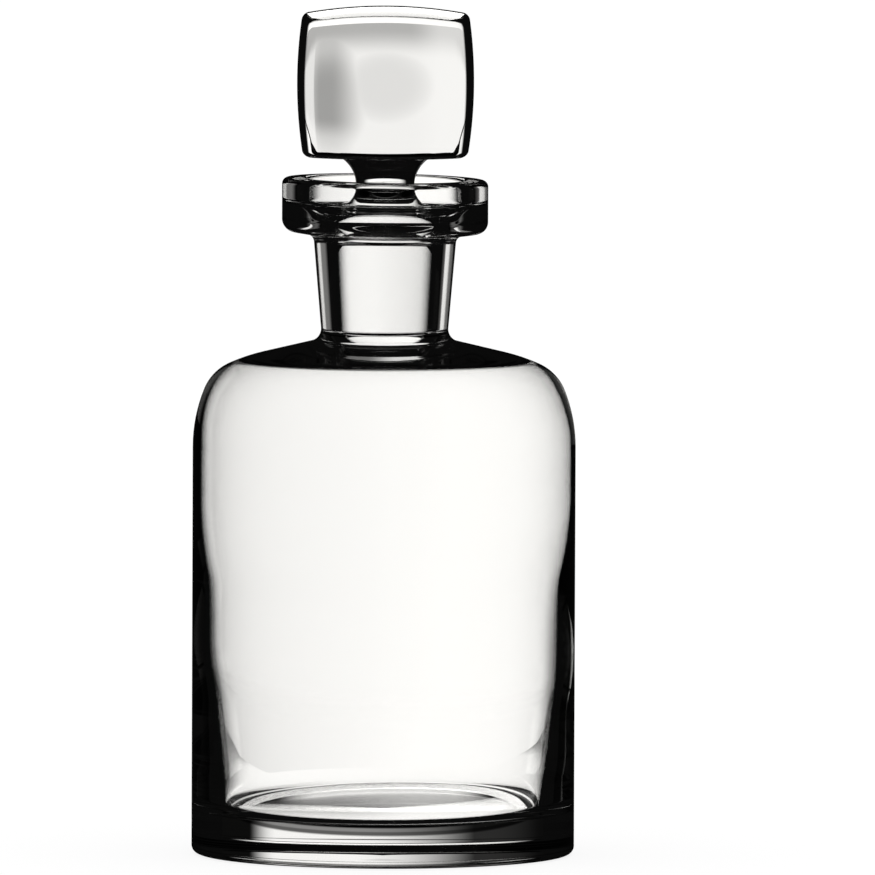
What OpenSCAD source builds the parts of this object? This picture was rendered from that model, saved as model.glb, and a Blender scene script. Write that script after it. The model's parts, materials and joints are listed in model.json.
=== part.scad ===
// Plain crystal whisky decanter with a lift-out cushion stopper.
// Millimetres, +Z up, origin at the centre of the base, on the surface it stands on.

/* [Body] */
// Outside diameter of the body
body_d = 105; // [90:0.5:120]
// Height at which the straight side wall starts to bend into the shoulder
side_h = 111.7; // [95:0.1:140]
// Radius of the outer edge at the foot
foot_edge_r = 2.2; // [1:0.1:5]
// Diameter of the shallow hollow ground into the underside
kick_d = 76; // [50:1:84]
// Depth of that hollow at its centre
kick_depth = 0.8; // [0.3:0.1:2]

/* [Glass thickness] */
// Thickness of the solid base, from the standing face to the inner floor
floor_t = 11.2; // [8:0.1:20]
// Radius where the inner wall sweeps into the inner floor
floor_corner_r = 4.5; // [4:0.5:9]
// Wall thickness where the inner wall would meet the inner floor
wall_foot_t = 9.1; // [6:0.1:12]
// Wall thickness at the belly, where the gather is thickest above the foot
wall_belly_t = 4.6; // [3:0.1:6]
// Height of the lower end of the belly above the inner floor
belly_low_h = 41; // [30:0.5:44]
// Height of the upper end of the belly above the inner floor
belly_high_h = 55; // [48:0.5:60]
// Wall thickness under the shoulder
wall_top_t = 1.7; // [1.4:0.1:3]
// Height over which the wall thins from the belly to its upper stretch
wall_taper_h = 21.5; // [16:0.5:26]
// Radius that eases one stretch of the inner wall into the next
wall_ease_r = 70; // [30:1:100]

/* [Shoulder] */
// Radius of the slow curve that leads the side wall into the shoulder
shoulder_ease_r = 42; // [30:0.5:50]
// Turn of that slow curve, in degrees
shoulder_ease_turn = 22; // [16:0.5:28]
// Radius of the shoulder's main bend
shoulder_bend_r = 13; // [9:0.5:16]
// Turn of the main bend, in degrees
shoulder_bend_turn = 44; // [38:0.5:48]
// Radius of the flat curve that leads the bend into the sloping top
shoulder_top_r = 51; // [30:0.5:60]
// Turn of that flat curve, in degrees
shoulder_top_turn = 10.5; // [6:0.5:14]
// Height of the shoulder's underside at the throat above the upper end of the main bend
underside_rise = 1; // [0:0.1:1.5]
// Fall of the shoulder's underside from the throat to the wall, in degrees
underside_slope = 0.7; // [0:0.1:3]
// Largest radius of the shoulder's inner bend
underside_bend_r = 14; // [10:0.5:16]
// Radius of the rounded edge where the throat opens into the body
throat_edge_r = 2; // [1:0.1:3]

/* [Neck and lip] */
// Diameter of the neck where it meets the shoulder
neck_foot_d = 34.4; // [32:0.1:37]
// Diameter of the neck under the lip
neck_top_d = 39.2; // [37:0.1:42]
// Height of the neck from the shoulder to the lip
neck_h = 28.2; // [24:0.1:34]
// Radius of the sweep from shoulder to neck
neck_foot_r = 3.5; // [2:0.1:6]
// Radius of the sweep from neck to lip
neck_top_r = 2.2; // [1:0.1:3]
// Outside diameter of the lip
lip_d = 56.5; // [53:0.1:62]
// Height of the lip
lip_h = 15.7; // [13:0.1:20]
// Rise of the lip's underside from the neck to its rim
lip_under_rise = 1.3; // [0.5:0.1:2]
// Radius of the lip's lower edge
lip_under_r = 3.5; // [2:0.1:5]
// Radius of the lip's two upper edges
lip_top_r = 1.8; // [1:0.1:2.5]
// Diameter of the round well sunk into the lip
well_d = 42; // [38:0.1:46]
// Depth of the well
well_depth = 7.2; // [5:0.1:9]
// Radius of the corner at the bottom of the well
well_corner_r = 1.6; // [0.8:0.1:2.4]

/* [Ground joint] */
// Diameter of the tapered bore at the bottom of the well
joint_d = 27.3; // [25:0.1:29]
// Length over which the bore narrows by 1 mm of diameter
joint_taper = 10; // [8:0.5:14]
// Length of the tapered bore, below which the throat runs straight
joint_len = 39; // [37.5:0.1:41]
// Largest radius of the rounded mouth of the bore
joint_mouth_r = 4.5; // [2:0.1:5.5]
// Gap between plug and bore, on the radius
joint_gap = 0.06; // [0.03:0.01:0.15]

/* [Stopper] */
// Length of the plug below the bottom of the well
plug_len = 36.5; // [30:0.1:37]
// Radius of the plug's lower edge
plug_edge_r = 1.2; // [0.5:0.1:2]
// Depth of the plug's upper edge below the bottom of the well
plug_top_drop = 3.7; // [2:0.1:6]
// Radius of the plug's upper edge
plug_top_r = 3; // [1:0.1:4]
// Height of the flare that leads from the plug's upper edge to the waist
flare_h = 6.9; // [5:0.1:9]
// Diameter of the waist between plug and head
waist_d = 16; // [14:0.1:17]
// Radius of the sweep from the flare up to the waist
waist_foot_r = 5.5; // [3:0.1:8]
// Straight length of the waist between its two sweeps
waist_run = 0.2; // [0.1:0.1:6]
// Radius of the sweep from the waist up to the head
waist_top_r = 9; // [6:0.1:10]
// Depth by which the end of that sweep lies inside the head
waist_sink = 1.5; // [1:0.1:2.5]
// Width and depth of the head across its bulging sides
head_w = 48.5; // [44:0.1:54]
// Height of the head between its bulging top and bottom
head_h = 41.7; // [36:0.1:48]
// Radius of the bulge of the head's four sides and its top
head_face_r = 125; // [100:1:200]
// Radius of the flatter bulge of the head's underside
head_base_r = 400; // [250:5:600]
// Depth taken off each edge of the head
head_arris = 0.6; // [0.3:0.1:1.2]

/* [Hidden] */
$fn = 128;
round_slack = 0.003;
crystal = [0.86, 0.90, 0.90, 0.45];

body_r = body_d / 2;
lip_r = lip_d / 2;
well_r = well_d / 2;
waist_r = waist_d / 2;

// A step of the given length along a heading in degrees, from straight up towards the axis
function step(heading, length) = length * [-sin(heading), cos(heading)];

// Distance from a corner to where an arc of radius r that turns by that angle meets the edge
function reach(r, turn) = r * tan(turn / 2);

// The shoulder is three arcs in a row, drawn as three corners whose roundings meet
ease_heading = shoulder_ease_turn;
bend_heading = ease_heading + shoulder_bend_turn;
top_heading = bend_heading + shoulder_top_turn;
ease_reach = reach(shoulder_ease_r, shoulder_ease_turn);
bend_reach = reach(shoulder_bend_r, shoulder_bend_turn);
top_reach = reach(shoulder_top_r, shoulder_top_turn);
ease_corner = [body_r, side_h + ease_reach];
bend_corner = ease_corner + step(ease_heading, ease_reach + bend_reach);
top_corner = bend_corner + step(bend_heading, bend_reach + top_reach);
top_run = (top_corner[0] - neck_foot_d / 2) / sin(top_heading);
neck_corner = top_corner + step(top_heading, top_run);

// Heights up the neck and the lip
neck_foot_z = neck_corner[1];
lip_z = neck_foot_z + neck_h;
mouth_z = lip_z + lip_h;
well_z = mouth_z - well_depth;

// Ground joint: bore and plug share one taper, and the plug is thinner by the gap
function joint_r(z) = joint_d / 2 + (z - well_z) / joint_taper / 2;
throat_z = well_z - joint_len;
throat_r = joint_r(throat_z);
plug_foot_z = well_z - plug_len;
plug_top_z = well_z - plug_top_drop;
plug_top_edge_r = joint_r(plug_top_z) - joint_gap;
joint_mouth_room = well_r - well_corner_r - joint_r(well_z) - 0.2;

// Inside of the body
foot_inner_r = body_r - wall_foot_t;
belly_inner_r = body_r - wall_belly_t;
top_inner_r = body_r - wall_top_t;
belly_low_z = floor_t + belly_low_h;
belly_high_z = floor_t + belly_high_h;
thin_wall_z = belly_high_z + wall_taper_h;
bend_end = bend_corner + step(bend_heading, bend_reach);
underside_z = bend_end[1] + underside_rise;
ease_inner_z = ease_corner[1] - wall_top_t * tan(ease_heading / 2);

// The shoulder's underside meets an inner wall that leans as the outside does below the main bend
lean = 1 / tan(ease_heading);
fall = tan(underside_slope);
meet_r = (ease_inner_z + lean * top_inner_r - underside_z - fall * throat_r) / (lean - fall);
meet_z = underside_z - fall * (meet_r - throat_r);
lean_length = norm([top_inner_r - meet_r, meet_z - ease_inner_z]);
inner_bend_turn = 90 - ease_heading - underside_slope;
inner_ease_r = min(shoulder_ease_r - wall_top_t, 0.42 * lean_length / tan(ease_heading / 2));
inner_bend_r = min(underside_bend_r, 0.55 * lean_length / tan(inner_bend_turn / 2));
kick_r = (kick_d * kick_d / 4 + kick_depth * kick_depth) / (2 * kick_depth);

// Head of the stopper
flare_turn = atan2(plug_top_edge_r - waist_r, flare_h);
waist_foot_z = plug_top_z + flare_h;
sweep_end_z = waist_foot_z + reach(waist_foot_r, flare_turn) + waist_run + waist_top_r;
sweep_end_r = waist_r + waist_top_r;
head_z = sweep_end_z - waist_sink + head_h / 2;
side_back = head_face_r - head_w / 2;
top_back = head_face_r - head_h / 2;
base_back = head_base_r - head_h / 2;

// One unit of length from p towards q
function towards(p, q) = (q - p) / norm(q - p);

// Half the angle between the two edges that meet at b
function half_angle(a, b, c) = acos(towards(b, a) * towards(b, c)) / 2;

// Point at which the rounding of corner b leaves the edge towards a
function leave(a, b, c, r) = b + towards(b, a) * r / tan(half_angle(a, b, c));

// Centre of the rounding of corner b
function round_centre(a, b, c, r) =
    b + towards(b, (b + towards(b, a) + b + towards(b, c)) / 2) * r / sin(half_angle(a, b, c));

// Positive where an outline drawn counter-clockwise turns left at b
function left_turn(a, b, c) = (b[0] - a[0]) * (c[1] - b[1]) - (b[1] - a[1]) * (c[0] - b[0]);

// Part of the rounding that lies beyond the straight cut across the corner.
// The arc is larger by round_slack, so that it crosses both edges cleanly instead of just touching them.
module corner_sliver(a, b, c, r) {
    intersection() {
        polygon([leave(a, b, c, r), b, leave(c, b, a, r)]);
        translate(round_centre(a, b, c, r)) circle(r + round_slack);
    }
}

// Closed outline whose corners [x, y, r] are rounded with true arcs of radius r, or left sharp at 0
module rounded_outline(corners) {
    n = len(corners);
    spot = [for (c = corners) [c[0], c[1]]];
    r = [for (c = corners) c[2]];
    before = [for (i = [0:n - 1]) spot[(i + n - 1) % n]];
    after = [for (i = [0:n - 1]) spot[(i + 1) % n]];
    side = [for (i = [0:n - 1]) r[i] == 0 ? 0 : left_turn(before[i], spot[i], after[i])];
    cut = [for (i = [0:n - 1]) each r[i] == 0 ? [spot[i]]
        : [leave(before[i], spot[i], after[i], r[i]), leave(after[i], spot[i], before[i], r[i])]];
    difference() {
        union() {
            polygon(cut);
            for (i = [0:n - 1]) if (side[i] > 0) corner_sliver(before[i], spot[i], after[i], r[i]);
        }
        for (i = [0:n - 1]) if (side[i] < 0) corner_sliver(before[i], spot[i], after[i], r[i]);
    }
}

// Half section of the bottle, from the foot up the outside, over the lip and down the inside
module decanter_outline() {
    rounded_outline([
        [0, 0, 0],
        [body_r, 0, foot_edge_r],
        [ease_corner[0], ease_corner[1], shoulder_ease_r],
        [bend_corner[0], bend_corner[1], shoulder_bend_r],
        [top_corner[0], top_corner[1], shoulder_top_r],
        [neck_corner[0], neck_corner[1], neck_foot_r],
        [neck_top_d / 2, lip_z, neck_top_r],
        [lip_r, lip_z + lip_under_rise, lip_under_r],
        [lip_r, mouth_z, lip_top_r],
        [well_r, mouth_z, lip_top_r],
        [well_r, well_z, well_corner_r],
        [joint_r(well_z), well_z, min(joint_mouth_r, joint_mouth_room)],
        [throat_r, throat_z, 0],
        [throat_r, underside_z, throat_edge_r],
        [meet_r, meet_z, inner_bend_r],
        [top_inner_r, ease_inner_z, inner_ease_r],
        [top_inner_r, thin_wall_z, wall_ease_r],
        [belly_inner_r, belly_high_z, wall_ease_r],
        [belly_inner_r, belly_low_z, wall_ease_r],
        [foot_inner_r, floor_t, floor_corner_r],
        [0, floor_t, 0]
    ]);
}

// Half section of the stopper's plug and waist, up to the middle of the head
module plug_outline() {
    rounded_outline([
        [0, plug_foot_z, 0],
        [joint_r(plug_foot_z) - joint_gap, plug_foot_z, plug_edge_r],
        [plug_top_edge_r, plug_top_z, plug_top_r],
        [waist_r, waist_foot_z, waist_foot_r],
        [waist_r, sweep_end_z, waist_top_r],
        [sweep_end_r, sweep_end_z, 0],
        [sweep_end_r, head_z, 0],
        [0, head_z, 0]
    ]);
}

// One bulging face: the far side of a large ball set back along z, to the side given by the sign s.
// The ball is turned so that its poles and its seam lie away from the part that is used.
module face(s, back, r) translate([0, 0, s * back]) rotate([0, -90 * s, 0]) sphere(r);

// Edges between two sides set back by side_back and the faces of radius r set back by q on the signs given.
// Each edge is taken off by a ball that follows the circle in which the two faces meet.
module edge_set(q, r, signs) {
    apart = norm([side_back, q]);
    share = (1 + (head_face_r * head_face_r - r * r) / (apart * apart)) / 2;
    edge_r = sqrt(head_face_r * head_face_r - share * share * apart * apart);
    back_x = side_back * (1 - share) + head_arris * q / apart;
    back_y = q * share + head_arris * side_back / apart;
    intersection_for (x = [-1, 1]) intersection_for (y = signs)
        translate([x * back_x, y * back_y, 0]) rotate([0, 0, atan2(y, x)]) sphere(edge_r);
}

// Cushion-shaped head: six bulging faces with softened edges
module head() {
    translate([0, 0, head_z]) intersection() {
        face(-1, top_back, head_face_r);
        face(1, base_back, head_base_r);
        edge_set(side_back, head_face_r, [-1, 1]);
        intersection_for (turn = [0, 90]) rotate([90, 0, turn]) intersection() {
            face(-1, side_back, head_face_r);
            face(1, side_back, head_face_r);
            edge_set(top_back, head_face_r, [-1]);
            edge_set(base_back, head_base_r, [1]);
        }
    }
}

// Body, neck and lip, blown in one piece
module decanter() color(crystal) rotate_extrude() difference() {
    decanter_outline();
    translate([0, kick_depth - kick_r]) circle(kick_r);
}

// Solid stopper: ground plug, waist and head in one piece
module stopper() color(crystal) union() {
    rotate_extrude() plug_outline();
    head();
}

decanter();
stopper();
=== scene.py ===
# %% [markdown]
# # A plain crystal decanter with a lift-out stopper
#
# The solids of this part already have the right shape and the right joint. Here they get their looks:
# a smooth skin, clear glass, a camera and a studio. Every cell does one step and prints what it made,
# so the script can be read from top to bottom.

# %% Load the frame
import json
import math

import bmesh
import bpy
import numpy as np
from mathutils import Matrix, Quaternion, Vector

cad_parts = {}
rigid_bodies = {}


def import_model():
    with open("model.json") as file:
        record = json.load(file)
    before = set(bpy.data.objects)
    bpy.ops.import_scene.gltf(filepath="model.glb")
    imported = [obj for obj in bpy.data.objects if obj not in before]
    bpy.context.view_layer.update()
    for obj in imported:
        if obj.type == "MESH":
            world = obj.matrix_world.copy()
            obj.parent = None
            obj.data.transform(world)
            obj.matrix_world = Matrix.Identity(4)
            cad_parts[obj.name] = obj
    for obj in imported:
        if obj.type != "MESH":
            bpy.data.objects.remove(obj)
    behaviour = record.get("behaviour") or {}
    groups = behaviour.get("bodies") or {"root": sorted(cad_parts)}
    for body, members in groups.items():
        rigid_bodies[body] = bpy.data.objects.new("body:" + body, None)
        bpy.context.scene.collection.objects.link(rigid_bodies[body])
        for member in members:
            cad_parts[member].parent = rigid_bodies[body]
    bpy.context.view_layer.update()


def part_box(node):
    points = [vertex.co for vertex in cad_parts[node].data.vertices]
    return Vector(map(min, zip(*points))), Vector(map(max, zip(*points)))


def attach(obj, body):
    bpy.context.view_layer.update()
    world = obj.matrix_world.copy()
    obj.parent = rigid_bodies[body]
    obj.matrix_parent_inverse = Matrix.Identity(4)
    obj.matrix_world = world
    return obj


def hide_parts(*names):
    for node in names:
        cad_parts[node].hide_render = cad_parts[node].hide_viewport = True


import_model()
scene = bpy.context.scene
MM = 0.001

# %% [markdown]
# ## Sizes
#
# The outermost sizes are read from the solids, so that the skin follows them. The smaller ones are the
# same values in millimetres as in the part's source. The bore narrows by 1 mm of radius over 20 mm.

# %% Sizes of the bottle
low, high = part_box("decanter")
BODY_R, MOUTH_Z = high.x / MM, high.z / MM
low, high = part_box("stopper")
PLUG_FOOT_Z, HEAD_TOP_Z, HEAD_HALF_W = low.z / MM, high.z / MM, high.x / MM

SIDE_H, FOOT_EDGE_R, KICK_R, KICK_DEPTH = 111.7, 2.2, 38, 0.8
FLOOR_T, FLOOR_CORNER_R = 11.2, 4.5
WALL_FOOT_T, WALL_BELLY_T, WALL_TOP_T = 9.1, 4.6, 1.7
BELLY_LOW_H, BELLY_HIGH_H, WALL_TAPER_H = 41, 55, 21.5
EASE_R, BEND_R, TOP_R = 42.0, 13.0, 51.0
EASE_TURN, BEND_TURN, TOP_TURN = 22.0, 44.0, 10.5
NECK_FOOT_R, NECK_TOP_R, LIP_R, LIP_H, LIP_UNDER_RISE = 17.2, 19.6, 28.25, 15.7, 1.3
WELL_R, WELL_DEPTH, BORE_R, BORE_H, TAPER_H = 21.0, 7.2, 13.65, 39, 20
LIP_Z, WELL_Z = MOUTH_Z - LIP_H, MOUTH_Z - WELL_DEPTH
THROAT_Z = WELL_Z - BORE_H


def joint_r(z):
    """Radius of the tapered bore at height z."""
    return BORE_R + (z - WELL_Z) / TAPER_H


print(f"body radius {BODY_R:.2f}, mouth at {MOUTH_Z:.2f}, head up to {HEAD_TOP_Z:.2f}")

# %% [markdown]
# ## From corners to a smooth row of points
#
# A turned shape needs half of its outline only. It is written as a few corners, each with the radius
# that rounds it, and this function puts points on the straight runs and on the true arcs between them.
# A Bevel modifier rounds corners too, but all of them by one width. Long straight runs get a support
# point close to each end, which keeps the shading of the run flat. Short runs get none: there the
# shading flows on, as it has to on a wall made of many short runs.

# %% Rounded outlines
SHORT_RUN, SMALL_R = 3.0, 5.0


def rounded(corners, turn=3.0, small_turn=4.0, gap=9.0, support=0.3):
    """Points along an outline of (radius, height, rounding) corners, in mm."""
    spots = [np.array(c[:2], float) for c in corners]
    row = []

    def run_to(spot):
        """Goes straight on to a spot."""
        if row:
            length = np.linalg.norm(spot - row[-1])
            if length < 1e-4:
                return
            if length > SHORT_RUN:
                way, start = (spot - row[-1]) / length, row[-1]
                stops = np.linspace(support, length - support, max(2, math.ceil(length / gap) + 1))
                row.extend(start + way * s for s in stops)
        row.append(spot)

    for i, corner in enumerate(spots):
        radius = corners[i][2]
        if radius == 0:
            run_to(corner)
            continue
        back, on = spots[i - 1] - corner, spots[i + 1] - corner
        back, on = back / np.linalg.norm(back), on / np.linalg.norm(on)
        half = math.acos(float(back @ on)) / 2
        start, end = corner + back * radius / math.tan(half), corner + on * radius / math.tan(half)
        centre = corner + (back + on) / np.linalg.norm(back + on) * radius / math.sin(half)
        run_to(start)
        first, last = (math.atan2(*(p - centre)[::-1]) for p in (start, end))
        sweep = (last - first + math.pi) % (2 * math.pi) - math.pi
        count = max(3, math.ceil(math.degrees(abs(sweep)) / (turn if radius > SMALL_R else small_turn)))
        for a in np.linspace(first, first + sweep, count + 1)[1:]:
            row.append(centre + radius * np.array([math.cos(a), math.sin(a)]))
    return np.array(row)


corner_row = rounded([(0, 0, 0), (10, 0, 2), (10, 10, 0)])
print("points on a path with one rounded corner:", len(corner_row))

# %% [markdown]
# ## The shoulder
#
# The shoulder is three arcs in a row: a slow one, a tight one and a nearly flat one. One quarter of a
# circle would be simpler, but the real side leans in slowly before it turns. Inside, a nearly level
# underside leads from the throat to the wall.

# %% Corners of the shoulder, outside and inside
UNDERSIDE_RISE, UNDERSIDE_SLOPE = 1, 0.7


def reach(radius, turn):
    """Distance from a corner to where its rounding starts."""
    return radius * math.tan(math.radians(turn) / 2)


def step(heading, length):
    """A step along a heading in degrees, from straight up towards the axis."""
    return length * np.array([-math.sin(math.radians(heading)), math.cos(math.radians(heading))])


ease = np.array([BODY_R, SIDE_H + reach(EASE_R, EASE_TURN)])
bend = ease + step(EASE_TURN, reach(EASE_R, EASE_TURN) + reach(BEND_R, BEND_TURN))
heading = EASE_TURN + BEND_TURN
bend_end = bend + step(heading, reach(BEND_R, BEND_TURN))
top = bend + step(heading, reach(BEND_R, BEND_TURN) + reach(TOP_R, TOP_TURN))
heading += TOP_TURN
neck = top + step(heading, (top[0] - NECK_FOOT_R) / math.sin(math.radians(heading)))

throat_r = joint_r(THROAT_Z)
under_z = bend_end[1] + UNDERSIDE_RISE
ease_in = ease - WALL_TOP_T * np.array([1, math.tan(math.radians(EASE_TURN / 2))])
fall, lean = math.tan(math.radians(UNDERSIDE_SLOPE)), 1 / math.tan(math.radians(EASE_TURN))
meet_r = (ease_in[1] + lean * ease_in[0] - under_z - fall * throat_r) / (lean - fall)
meet = np.array([meet_r, under_z - fall * (meet_r - throat_r)])
print(f"foot of the neck at {neck[1]:.1f}, underside of the shoulder at {under_z:.1f}")

# %% [markdown]
# ## The bottle's outline
#
# The outline goes up the outside and down the inside. The wall is thick at the foot, thinner at the
# belly and thinnest under the shoulder, as blown glass is. A shell of one even thickness, as the
# Solidify modifier makes it, would be quicker, but the uneven wall is what bends the light into the dark
# stripes along the sides. The third number of each corner is its rounding.

# %% The whole outline
WALL_BLEND, WALL_SPACING, WALL_LOW_Z = 18, 2, 22


def wall_t(z):
    """Thickness of the wall at height z, averaged over a stretch of height so that it has no kinks."""
    stretch = z + np.linspace(-WALL_BLEND / 2, WALL_BLEND / 2, 13)
    heights = FLOOR_T + np.array([0, BELLY_LOW_H, BELLY_HIGH_H, BELLY_HIGH_H + WALL_TAPER_H])
    return np.interp(stretch, heights, [WALL_FOOT_T, WALL_BELLY_T, WALL_BELLY_T, WALL_TOP_T]).mean()


wall_heights = np.arange(SIDE_H - 3, WALL_LOW_Z, -WALL_SPACING)
bottle_row = rounded([
    (0, KICK_DEPTH, 0), (KICK_R, 0, 0.5), (BODY_R, 0, FOOT_EDGE_R),
    (*ease, EASE_R), (*bend, BEND_R), (*top, TOP_R), (*neck, 3.5),
    (NECK_TOP_R, LIP_Z, 2.2), (LIP_R, LIP_Z + LIP_UNDER_RISE, 3.5), (LIP_R, MOUTH_Z, 1.8),
    (WELL_R, MOUTH_Z, 1.8), (WELL_R, WELL_Z, 1.6), (BORE_R, WELL_Z, 4.5),
    (throat_r, THROAT_Z, 5), (throat_r, under_z, 2), (*meet, 14), (*ease_in, 36),
    *((BODY_R - wall_t(z), z, 0) for z in wall_heights),
    (BODY_R - WALL_FOOT_T, FLOOR_T, FLOOR_CORNER_R), (0, FLOOR_T, 0)])
print("points in the bottle's outline:", len(bottle_row))

# %% [markdown]
# ## Turning the bottle
#
# `bmesh.ops.spin` turns the row of points once round the z axis. A Screw modifier would do the same, but
# the next step moves single points, and for that the mesh has to be there. `use_merge` closes the seam,
# and the points on the axis, which came out as many copies of one point, are merged too. Then the
# normals are made to point outwards, because glass bends light by the side on which the ray comes in.

# %% Turn the outline
BOTTLE_STEPS = 232


def linked(name, bm):
    """Puts a bmesh into the scene as an object."""
    mesh = bpy.data.meshes.new(name)
    bm.to_mesh(mesh)
    bm.free()
    ob = bpy.data.objects.new(name, mesh)
    scene.collection.objects.link(ob)
    return ob


def smooth_skin(bm):
    """Turns all faces outwards and shades them smooth."""
    bmesh.ops.recalc_face_normals(bm, faces=bm.faces)
    for face in bm.faces:
        face.smooth = True


def turned(name, row, steps):
    """An object made by turning a row of (radius, height) points, in mm, round the z axis."""
    bm = bmesh.new()
    verts = [bm.verts.new((r * MM, 0, z * MM)) for r, z in row]
    edges = [bm.edges.new(pair) for pair in zip(verts, verts[1:])]
    bmesh.ops.spin(bm, geom=verts + edges, axis=(0, 0, 1), angle=math.tau, steps=steps, use_merge=True)
    bmesh.ops.remove_doubles(bm, verts=bm.verts, dist=1e-7)
    smooth_skin(bm)
    return linked(name, bm)


def triangles(ob):
    """Number of triangles in an object's mesh."""
    return sum(len(p.vertices) - 2 for p in ob.data.polygons)


bottle = turned("decanter_glass", bottle_row, BOTTLE_STEPS)
print("triangles in the bottle:", triangles(bottle))

# %% [markdown]
# ## Traces of hand work
#
# No blown wall is even. The inner wall is moved sideways by up to 0.4 mm, and the lip leans by less
# than a degree. `rise` is a smooth step, and two of them, one up and one down, make the wall drift over
# a stretch of its height and come back. A Displace modifier with a noise would make ripples instead.
# The bore keeps its place, because the stopper has to fit.

# %% Drift of the inner wall, lean of the lip
UPPER_DRIFT, LOWER_DRIFT = 0.4, 0.3
LIP_LEAN, LEAN_START_Z, LEAN_FULL_Z = 0.8, 166, 172
BORE_MARGIN, SKIN_MARGIN = 3, 0.8

points = np.empty(len(bottle.data.vertices) * 3)
bottle.data.vertices.foreach_get("co", points)
points = points.reshape(-1, 3)
x, y, z = points.T / MM
radius = np.hypot(x, y)
outer = bottle_row[:bottle_row[:, 1].argmax()]
skin = np.interp(z, outer[:, 1], outer[:, 0])
between = (radius > throat_r + BORE_MARGIN) & (radius < skin - SKIN_MARGIN)
inner = between & (z > FLOOR_T) & (z < under_z)


def rise(z, start, end):
    """A smooth step from 0 to 1 between two heights."""
    t = np.clip((z - start) / (end - start), 0, 1)
    return t * t * (3 - 2 * t)


drift = UPPER_DRIFT * rise(z, 56, 100) * rise(z, 130, 110)
drift += LOWER_DRIFT * rise(z, 12, 26) * rise(z, 58, 40)
points[inner, 0] += drift[inner] * MM
leaning = np.interp(z, [LEAN_START_Z, LEAN_FULL_Z], [0, 1])
points[:, 2] -= x * MM * math.tan(math.radians(LIP_LEAN)) * leaning
bottle.data.vertices.foreach_set("co", points.ravel())
bottle.data.update()
print("points of the inner wall that drift:", int(inner.sum()))

# %% [markdown]
# ## The stopper's plug and waist
#
# The ground plug has the bore's taper and is thinner by a film of air. A flare leads up to a waist that
# two fingers can hold, and the waist sweeps out into the underside of the head. Turned by itself like
# the bottle, this shape would end inside the head, and glass inside glass shows a seam. So its outline
# ends on the sweep, where the rings of the head go on.

# %% Outline of the plug and the waist
PLUG_DROP, JOINT_GAP, FLARE_H = 3.7, 0.06, 6.9
WAIST_R, WAIST_FOOT_R, WAIST_RUN, WAIST_TOP_R, WAIST_SINK = 8.0, 5.5, 0.2, 9, 1.5
SIDE_R, BASE_R, EDGE_R = 125.0, 400.0, 1.5
SWEEP_END = 12

plug_top_z = WELL_Z - PLUG_DROP
plug_top_r, plug_foot_r = joint_r(plug_top_z) - JOINT_GAP, joint_r(PLUG_FOOT_Z) - JOINT_GAP
flare_turn = math.degrees(math.atan2(plug_top_r - WAIST_R, FLARE_H))
waist_top_z = plug_top_z + FLARE_H + reach(WAIST_FOOT_R, flare_turn) + WAIST_RUN
sweep_z = waist_top_z + WAIST_TOP_R
head_low_z = sweep_z - WAIST_SINK
head_half_h = (HEAD_TOP_Z - head_low_z) / 2
head_z = head_low_z + head_half_h

sweep_rise = head_low_z + SWEEP_END ** 2 / (2 * BASE_R) - waist_top_z
sweep_end_r = WAIST_R + WAIST_TOP_R - math.sqrt(WAIST_TOP_R ** 2 - sweep_rise ** 2)
plug_row = rounded([
    (0, PLUG_FOOT_Z, 0), (plug_foot_r, PLUG_FOOT_Z, 1.2), (plug_top_r, plug_top_z, 3),
    (WAIST_R, plug_top_z + FLARE_H, WAIST_FOOT_R), (WAIST_R, sweep_z, WAIST_TOP_R),
    (WAIST_R + WAIST_TOP_R, sweep_z, 0)])
plug_row = [p for p in plug_row[1:] if p[1] < waist_top_z + sweep_rise - 0.05]
plug_row.append((sweep_end_r, waist_top_z + sweep_rise))
print(f"plug {plug_top_z - PLUG_FOOT_Z:.1f} mm long, middle of the head at {head_z:.1f}")

# %% [markdown]
# ## The stopper's head
#
# The head is a cushion: its four sides and its top are each a piece of a large ball, and its underside
# is a piece of a still larger one, with rounded edges between them. A bevelled cube would have flat
# sides, and flat sides of glass show one even tone. So points are pushed along their lines from the
# head's middle until they reach the skin inside all six balls.

# %% Skin of the head
NEAREST, FARTHEST, HALVINGS = 0.3, 2.0, 40

ball_r = np.array([SIDE_R] * 5 + [BASE_R])
ball_centre = np.zeros((6, 3))
for i, sign in enumerate((-1, 1)):
    ball_centre[i, 0] = ball_centre[i + 2, 1] = sign * (SIDE_R - HEAD_HALF_W)
ball_centre[4, 2], ball_centre[5, 2] = head_half_h - SIDE_R, BASE_R - head_half_h


def outside(spots):
    """True for spots, given from the head's middle, that lie outside the head."""
    gap = np.linalg.norm(spots[:, None] - ball_centre, axis=2) - ball_r
    over = np.maximum(gap + EDGE_R, 0)
    return np.linalg.norm(over, axis=1) > EDGE_R


def onto_skin(spots):
    """The spots moved along their lines from the head's middle onto its skin."""
    near, far = np.full(len(spots), NEAREST), np.full(len(spots), FARTHEST)
    for _ in range(HALVINGS):
        middle = (near + far) / 2
        out = outside(spots * middle[:, None])
        near, far = np.where(out, near, middle), np.where(out, middle, far)
    return spots * near[:, None] + (0, 0, head_z)


corner = onto_skin(np.array([[HEAD_HALF_W, HEAD_HALF_W, head_half_h]]))[0]
print("upper corner of the head in mm:", [round(float(c), 1) for c in corner])

# %% [markdown]
# ## Rings of the stopper
#
# Round rings for the plug and square ones for the head have the same number of points, so that the skin
# can run from one to the next. Evenly spread points would leave the edges of the head coarse. Points
# therefore crowd near the corners of the squares, and rings near the edges of the head.

# %% Rings
QUARTER_POINTS, FLAT_RINGS, SIDE_RINGS = 64, 34, 60
CORNER_CROWD, EDGE_CROWD, LEVEL_CROWD = 0.62, 1.6, 0.55

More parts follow.
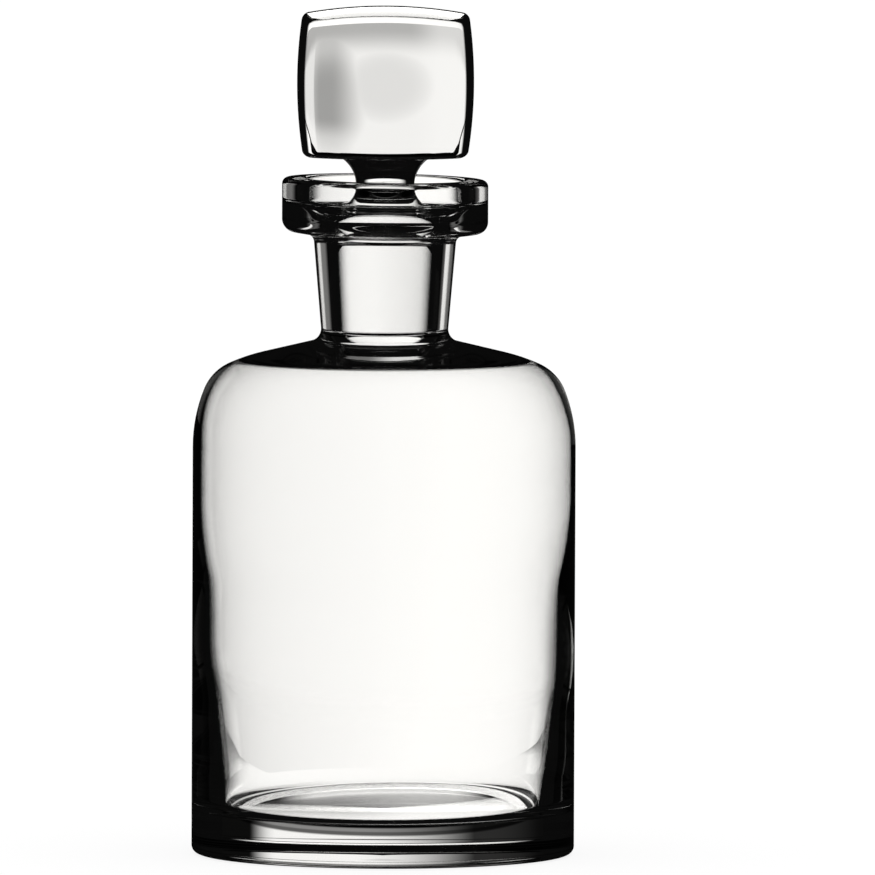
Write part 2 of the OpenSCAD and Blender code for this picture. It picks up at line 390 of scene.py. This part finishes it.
share = np.linspace(-1, 1, QUARTER_POINTS, endpoint=False)
quarter = 45 + 45 * (share + CORNER_CROWD * np.sin(np.pi * share) / np.pi)
theta = np.radians(np.concatenate([quarter + 90 * k for k in range(4)]))
circle = np.stack([np.cos(theta), np.sin(theta)], 1)
square = circle / abs(circle).max(axis=1, keepdims=True)
half_w, half_h = HEAD_HALF_W - 1, head_half_h - 1
spread = 1 - (1 - np.linspace(0, 1, FLAT_RINGS + 1)[1:]) ** EDGE_CROWD
level = np.linspace(-1, 1, SIDE_RINGS + 1)[1:-1]
level = (1 - LEVEL_CROWD) * level + LEVEL_CROWD * np.sin(np.pi / 2 * level)


def ring(flat, z):
    """A ring of points at one height."""
    return np.column_stack([flat, np.full(len(flat), z)])


rings = [ring(circle * r, z) for r, z in plug_row]
rings += [onto_skin(ring(circle * sweep_end_r * (1 - s) + square * half_w * s, -half_h)) for s in spread]
rings += [onto_skin(ring(square * half_w, half_h * s)) for s in level]
rings += [onto_skin(ring(square * half_w * s, half_h)) for s in spread[::-1]]
print("rings of the stopper:", len(rings))

# %% [markdown]
# ## Skin of the stopper
#
# Each ring becomes a closed loop of edges, and `bmesh.ops.bridge_loops` lays the faces between one loop
# and the next. Faces could be listed by number as well, but the operator is harder to get wrong. The
# first and the last ring are filled with one face each, and `bmesh.ops.poke` gives it a point in its
# middle.

# %% Bridge the rings
bm = bmesh.new()
loops = []
for spots in rings:
    verts = [bm.verts.new(spot * MM) for spot in spots]
    loops.append([bm.edges.new(pair) for pair in zip(verts, verts[1:] + verts[:1])])
for below, above in zip(loops, loops[1:]):
    bmesh.ops.bridge_loops(bm, edges=below + above)
for loop, tip_z in ((loops[0], PLUG_FOOT_Z), (loops[-1], HEAD_TOP_Z)):
    cap = bmesh.ops.contextual_create(bm, geom=loop)["faces"]
    tip = bmesh.ops.poke(bm, faces=cap)["verts"][0]
    tip.co = (0, 0, tip_z * MM)
smooth_skin(bm)
stopper = linked("stopper_glass", bm)
print("triangles in the stopper:", triangles(stopper))

# %% [markdown]
# ## Riding on the bodies
#
# Each piece rides on its body of the frame, so that it moves with it, and stands in for that body's
# solid.

# %% Ride
for ob, body in ((bottle, "decanter"), (stopper, "stopper")):
    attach(ob, body)
    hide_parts(body)
print("pieces on their bodies:", bottle.name, stopper.name)

# %% [markdown]
# ## Clear crystal
#
# One Principled shader that lets all light through: no colour, no roughness, and an index of
# refraction of 1.52. A Glass shader would look the same, but exporters know the Principled one. What
# the glass looks like depends on what stands around it. Light bounces many times inside thick glass, so
# Cycles is allowed more bounces than usual.

# %% Crystal
def crystal(name):
    """A clear glass."""
    material = bpy.data.materials.new(name)
    material.use_nodes = True
    shader = material.node_tree.nodes["Principled BSDF"]
    shader.inputs["Base Color"].default_value = (1, 1, 1, 1)
    shader.inputs["Roughness"].default_value = 0
    shader.inputs["IOR"].default_value = 1.52
    shader.inputs["Transmission Weight"].default_value = 1
    return material


bottle.data.materials.append(crystal("decanter_crystal"))
stopper.data.materials.append(crystal("stopper_crystal"))
scene.cycles.max_bounces = 32
scene.cycles.transmission_bounces = 32
scene.cycles.glossy_bounces = 16
print("materials:", [m.name for m in bpy.data.materials if "crystal" in m.name])

# %% [markdown]
# ## White world
#
# The camera sees a white world. Rays that bounce off the table see it white as well, which lights it
# evenly. All other rays see black: clear glass on white is drawn by its dark edges, and the edges are
# dark because they bend the view round to where nothing shines. In an all-white world the glass would
# all but vanish. What white the glass does see comes from the cards further down.

# %% World
DARK = 0.004

scene.view_settings.view_transform = "Standard"
world = bpy.data.worlds.new("studio")
scene.world = world
world.use_nodes = True
nodes, links = world.node_tree.nodes, world.node_tree.links
nodes.clear()
path = nodes.new("ShaderNodeLightPath")
seen, lifted = nodes.new("ShaderNodeMath"), nodes.new("ShaderNodeMath")
seen.operation = lifted.operation = "MAXIMUM"
lifted.inputs[1].default_value = DARK
sky = nodes.new("ShaderNodeBackground")
links.new(path.outputs["Is Camera Ray"], seen.inputs[0])
links.new(path.outputs["Is Diffuse Ray"], seen.inputs[1])
links.new(seen.outputs[0], lifted.inputs[0])
links.new(lifted.outputs[0], sky.inputs["Strength"])
links.new(sky.outputs[0], nodes.new("ShaderNodeOutputWorld").inputs[0])
print("world:", world.name)

# %% [markdown] ## White table  The table glows almost white by itself and is painted grey as well.
# The grey part is what the shadow takes away, so the shadow stays soft and pale. White paint alone
# would give a darker one.

# %% Table
TABLE_HALF, TABLE_Z, TABLE_GLOW, TABLE_GREY = 30000, -0.2, 0.86, 0.2


def shader_tree(name):
    """A new material with an empty node tree, and its nodes, links and output."""
    material = bpy.data.materials.new(name)
    material.use_nodes = True
    tree = material.node_tree
    tree.nodes.clear()
    return material, tree.nodes, tree.links, tree.nodes.new("ShaderNodeOutputMaterial")


def flat_object(name, corners, parent=None):
    """One flat face, with corners in mm, that only dresses the stage."""
    bm = bmesh.new()
    bmesh.ops.contextual_create(bm, geom=[bm.verts.new([c * MM for c in v]) for v in corners])
    ob = linked(name, bm)
    ob.parent = parent
    return ob


def level_face(x0, x1, y0, y1, z):
    """Corners of a level face."""
    return [(x0, y0, z), (x1, y0, z), (x1, y1, z), (x0, y1, z)]


floor = flat_object("floor", level_face(-TABLE_HALF, TABLE_HALF, -TABLE_HALF, TABLE_HALF, TABLE_Z))
material, nodes, links, output = shader_tree("floor")
glow, paint, both = (nodes.new("ShaderNode" + n) for n in ("Emission", "BsdfDiffuse", "AddShader"))
glow.inputs["Strength"].default_value = TABLE_GLOW
paint.inputs["Color"].default_value = (TABLE_GREY, TABLE_GREY, TABLE_GREY, 1)
links.new(glow.outputs[0], both.inputs[0])
links.new(paint.outputs[0], both.inputs[1])
links.new(both.outputs[0], output.inputs[0])
floor.data.materials.append(material)
floor.visible_glossy = False
floor.visible_transmission = False
print("table:", floor.name)

# %% [markdown]
# ## Camera
#
# The photo was taken from far away with a long lens and from a little above. The focal length follows
# from the distance: the body is 105 mm wide and takes 383 of the picture's 875 pixels. The camera is
# rolled by a quarter of a degree, which makes the upright sides lean as they do in the photo.

# %% Camera
AIM_X, AIM_Z, CAMERA_Y, CAMERA_Z, CAMERA_ROLL = 14.6, 114.3, -5500, 480, 0.23
BODY_W, BODY_PIXELS, PICTURE_PIXELS, SENSOR_W = 105 * MM, 383, 875, 36

camera = bpy.data.objects.new("camera", bpy.data.cameras.new("camera"))
scene.collection.objects.link(camera)
scene.camera = camera
place, aim = Vector((AIM_X, CAMERA_Y, CAMERA_Z)) * MM, Vector((AIM_X, 0, AIM_Z)) * MM
look = aim - place
roll = Quaternion((0, 0, 1), math.radians(CAMERA_ROLL))
camera.location = place
camera.rotation_mode = "QUATERNION"
camera.rotation_quaternion = look.to_track_quat("-Z", "Y") @ roll
camera.data.sensor_width = SENSOR_W
camera.data.lens = SENSOR_W * look.length / (PICTURE_PIXELS * BODY_W / BODY_PIXELS)
camera.data.clip_end = 100
print(f"lens {camera.data.lens:.0f} mm")

# %% [markdown]
# ## A turntable for the cards
#
# What shines in the glass are cards that stand behind and under it. They hang on an empty that turns
# with the camera, so that the glass looks the same from every side. Hung on the camera itself, they
# would tilt with it. A Locked Track constraint turns the empty about its upright axis only.

# %% Turntable
turntable = bpy.data.objects.new("turntable", None)
scene.collection.objects.link(turntable)
track = turntable.constraints.new("LOCKED_TRACK")
track.target = camera
track.track_axis = "TRACK_NEGATIVE_Y"
track.lock_axis = "LOCK_Z"
print("the cards turn with the", track.target.name)

# %% [markdown]
# ## Sums of sockets
#
# The brightness of a card is a sum of many small steps. Every step is a Math or a Map Range node, and
# wiring them one by one is hard to read. `Value` holds an output socket and makes such a node whenever
# it is added to or multiplied, so that the formulas further down look like ordinary ones.

# %% Values
class Value:
    """A shader socket that can be used in sums like a number."""

    def __init__(self, tree, socket):
        self.tree, self.socket = tree, socket

    def plug(self, socket):
        """Links this value to an input."""
        self.tree.links.new(self.socket, socket)

    def math(self, operation, other=0.0):
        """The result of a Math node."""
        node = self.tree.nodes.new("ShaderNodeMath")
        node.operation = operation
        fill(node.inputs, (self, other))
        return Value(self.tree, node.outputs[0])

    def __add__(self, other):
        return self.math("ADD", other)

    def __sub__(self, other):
        return self.math("SUBTRACT", other)

    def __mul__(self, other):
        return self.math("MULTIPLY", other)

    def __abs__(self):
        return self.math("ABSOLUTE")

    def larger(self, other):
        """The larger of two values."""
        return self.math("MAXIMUM", other)

    def ramp(self, start, end, first, last, smooth=True):
        """Goes from first to last while the value goes from start to end."""
        node = self.tree.nodes.new("ShaderNodeMapRange")
        node.interpolation_type = "SMOOTHSTEP" if smooth else "LINEAR"
        fill(node.inputs, (self, start, end, first, last))
        return Value(self.tree, node.outputs[0])


def fill(sockets, values):
    """Sets sockets to numbers, or links them to values."""
    for socket, value in zip(sockets, values):
        if isinstance(value, Value):
            value.plug(socket)
        else:
            socket.default_value = value


print("what a value can do:", [name for name in vars(Value) if not name.startswith("_")])

# %% [markdown]
# ## What a card knows of a ray
#
# A card's shader knows where a ray hits it, and the Light Path node tells what happened on the way.
# `crossed` counts the surfaces of glass that the ray went through: two for solid glass, as in the base
# or the head, and more for the hollow body. `mirrored` counts the times it was thrown back, and `run` is
# how far it came since the last surface. A lamp can't be steered like that, so cards are used.

# %% Spots
class Spot:
    """What a card's shader knows of the ray that hits it, with lengths in mm."""

    def __init__(self, tree):
        split, path = tree.nodes.new("ShaderNodeSeparateXYZ"), tree.nodes.new("ShaderNodeLightPath")
        tree.links.new(tree.nodes.new("ShaderNodeTexCoord").outputs["Object"], split.inputs[0])
        self.x, self.y, self.z = (Value(tree, socket) * (1 / MM) for socket in split.outputs)
        self.mirrored = Value(tree, path.outputs["Glossy Depth"])
        self.crossed = Value(tree, path.outputs["Transmission Depth"])
        self.run = Value(tree, path.outputs["Ray Length"]) * (1 / MM)


print("a spot knows where a ray hits, and what it went through")

# %% [markdown]
# ## What a card is
#
# A card is a flat face that shines. Rays that come out of the glass see it, and nothing else does. How
# bright it is, and what share of that is left for mirrored rays, are functions of a Spot. A card may
# also be clear to some of the rays, so that they reach the card behind it: a Mix Shader with a
# Transparent one does that.

# %% Cards
CARD_WHITE = (1, 0.992, 0.967, 1)


def a_tenth(at):
    """A tenth of the light is left after a ray was mirrored."""
    return 0.1


def card(name, corners, tone, mirror=a_tenth, seen=None, guide=0.04):
    """A card that shines. guide is the share that is left after a ray was mirrored three times."""
    ob = flat_object(name, corners, turntable)
    material, nodes, links, output = shader_tree(name)
    at = Spot(material.node_tree)
    glow = nodes.new("ShaderNodeEmission")
    glow.inputs["Color"].default_value = CARD_WHITE
    share = at.mirrored.ramp(0, 1, 1, mirror(at), smooth=False)
    guided = at.mirrored.ramp(2, 3, 1, guide, smooth=False)
    (share * guided * tone(at)).plug(glow.inputs["Strength"])
    surface = glow
    if seen:
        surface = nodes.new("ShaderNodeMixShader")
        seen(at).plug(surface.inputs[0])
        links.new(nodes.new("ShaderNodeBsdfTransparent").outputs[0], surface.inputs[1])
        links.new(glow.outputs[0], surface.inputs[2])
    links.new(surface.outputs[0], output.inputs[0])
    ob.data.materials.append(material)
    ob.visible_camera = ob.visible_diffuse = ob.visible_shadow = ob.visible_glossy = False
    return ob


def upright(y, z0, z1, half_w=170):
    """Corners of an upright card."""
    return [(-half_w, y, z0), (half_w, y, z0), (half_w, y, z1), (-half_w, y, z1)]


print("cards shine in", CARD_WHITE[:3])

# %% [markdown]
# ## The card behind the body
#
# The big card stands right behind the bottle. Its fade towards the left and right ends is what draws the
# soft dark edges of the body and the neck. A narrower card with hard ends would draw hard edges. It is a
# little brighter on the right, and mirrored rays see less of it, which leaves light streaks in the neck.

# %% Back card
BACK_Y, BACK_TOP_Z = 228, 178


def faded(at, start, end):
    """Fades out to the left and the right."""
    return abs(at.x).ramp(start, end, 1, DARK)


def back_tone(at):
    """Even light with soft ends, growing a little to the right."""
    return faded(at, 83, 160) * at.x.ramp(-110, 20, 0.94, 1.2, smooth=False)


def back_mirror(at):
    """Share of the light that mirrored rays see."""
    return at.x.ramp(-30, 20, 0.2, 0.8) * at.x.ramp(70, 100, 1, 0.12)


back_card = card("back_card", upright(BACK_Y, -40, BACK_TOP_Z), back_tone, back_mirror)
print("behind the body:", back_card.name)

# %% [markdown]
# ## The cards behind the head and the lip
#
# A thick cushion of glass shows what is behind it upside down and swapped left to right. The head's card
# therefore carries its soft shades the other way round: a band, a column with a round patch on it, and a
# paler patch in the middle. Only rays through solid glass see it, so that the shades stay out of the
# neck. The card above it is for the lip and leaves out the short runs, which come out of the head.

# %% Head card and upper card
def through_solid(at):
    """1 for rays that went through solid glass alone, which crossed two surfaces."""
    return at.crossed.ramp(2, 3, 1, 0, smooth=False)


def patch(at, x, z, half_w, half_h, dim):
    """A soft round patch."""
    across, up = (at.x - x) * (1 / half_w), (at.z - z) * (1 / half_h)
    return (across * across + up * up).ramp(0.1, 1.2, dim, 0)


def head_tone(at):
    """White, less the darkest of three soft shades."""
    band = at.z.ramp(190, 196.5, 0.52, 0.08) * at.x.ramp(-12, -4.5, 0.55, 1)
    column = at.x.ramp(3, 10.8, 0, 0.42) * at.z.ramp(207.7, 212.5, 1, 0.4)
    column = (column + patch(at, 11.2, 205, 9.5, 10.5, 0.2)) * at.x.ramp(12.8, 17.2, 1, 0.45)
    shade = band.larger(column).larger(patch(at, 0, 201.4, 10.5, 8.5, 0.23))
    return (shade * -1 + 0.97) * 1.09 * faded(at, 83, 160)


def upper_tone(at):
    """The back card's light, without the short runs."""
    return back_tone(at) * at.run.ramp(218.5, 220.5, 0, 1)


head_card = card("head_card", upright(BACK_Y, BACK_TOP_Z, 216), head_tone, seen=through_solid)
upper_card = card("upper_card", upright(BACK_Y, 218, 258), upper_tone)
print("above the back card:", head_card.name, upper_card.name)

# %% [markdown]
# ## The low card
#
# Near the foot the wall gets thicker downwards and works as a wedge: the view goes down to the table.
# A low card close behind the bottle meets those rays. The big card could reach lower down instead, but
# it stands too far back for that. The low card's upper edge is soft, so that it leaves no line.

# %% Low card
def through_walls(at):
    """1 for rays that went through the hollow body, which crossed more than two surfaces."""
    return at.crossed.ramp(2, 3, 0, 1, smooth=False)


def low_tone(at):
    """Even light with soft ends, growing a little to the right."""
    return faded(at, 64, 102) * at.x.ramp(-75, 12, 0.94, 1.2, smooth=False)


def low_mirror(at):
    """Mirrored rays see its middle alone, which lights the inner floor."""
    return abs(at.x).ramp(25, 45, 1.6, 0.05)


def low_seen(at):
    """For rays through the walls, with a soft upper edge."""
    return through_walls(at) * at.z.ramp(14, 26, 1, 0)


low_corners = upright(104, -0.3, 26, half_w=115)
low_card = card("low_card", low_corners, low_tone, low_mirror, low_seen, guide=1.0)
print("close behind the foot:", low_card.name)

# %% [markdown]
# ## The card under the bottle
#
# Through the inner floor the table itself is seen. The floor object could shine for these rays too, but
# it is one even tone. This card is brighter right under the standing face and plainer outside. Rays from
# the throat come from higher up, and their long run keeps the throat dark.

# %% Table card
def table_tone(at):
    """Bright under the standing face, plain outside, dark for long runs close to the bottle."""
    out = (at.x * at.x + at.y * at.y).math("POWER", 0.5)
    under = at.y.ramp(-12, 6, 1.15, 2.75) * out.ramp(45, 53, 1, 0.43)
    left = at.x.ramp(-55, -10, 0.55, 1).larger(out.ramp(51, 60, 0, 1))
    near = at.run.ramp(75, 100, 1, 0.02).larger(at.y.ramp(95, 120, 0, 1))
    return under * left * faded(at, 61, 95) * near


def table_mirror(at):
    """Mirrored rays see almost none of it."""
    return 0.04


table_corners = level_face(-120, 120, -53, 170, -0.3)
table_card = card("table_card", table_corners, table_tone, table_mirror, through_walls)
print("under the bottle:", table_card.name)

# %% [markdown]
# ## The card for the solid base
#
# The base is a thick round lens, so it shows its card swapped left to right. Steps of light along the
# card's height draw the bright bands round the base, one above and one below a dark one. Rings cut into
# the glass would draw bands as well, but the real base is smooth.

# %% Base card
def base_tone(at):
    """Two bands of light, with a faint step above the upper one."""
    right = at.x.ramp(-160, -60, DARK, 0.026).larger(at.x.ramp(-62, 15, 0, 1))
    steps = at.z.ramp(-11.7, -11, 1, 0.12) + at.z.ramp(-10.4, -10, 0, 0.14)
    upper = steps * at.z.ramp(-9.4, -8.9, 1, 0) * at.z.ramp(-30, -16, 0.15, 1)
    lower = at.z.ramp(-6.8, -5.5, 0, 1) * at.z.ramp(32.2, 34, 1, DARK)
    return right * at.x.ramp(67, 102, 1, DARK) * upper.larger(lower)


def base_seen(at):
    """For rays through solid glass, and high up for mirrored ones alone."""
    return through_solid(at) * at.mirrored.ramp(0, 1, 0, 1).larger(at.z.ramp(44, 45, 1, 0))


def all_light(at):
    """All the light is left after a ray was mirrored."""
    return 1.0


base_card = card("base_card", upright(220, -130, 100), base_tone, all_light, base_seen)
print("in front of the back card:", base_card.name)

# %% [markdown]
# ## A glint on the outside
#
# One bright card far behind and above the bottle is for mirrored rays alone. It draws the thin light
# lines on the top of the head and of the lip. A small lamp would draw points instead of lines.

# %% Glint
def glint_tone(at):
    """Even light."""
    return 2.5


glint = card("top_glint", upright(640, 300, 500, half_w=60), glint_tone, all_light)
glint.visible_glossy, glint.visible_transmission = True, False

# %% [markdown]
# ## Done
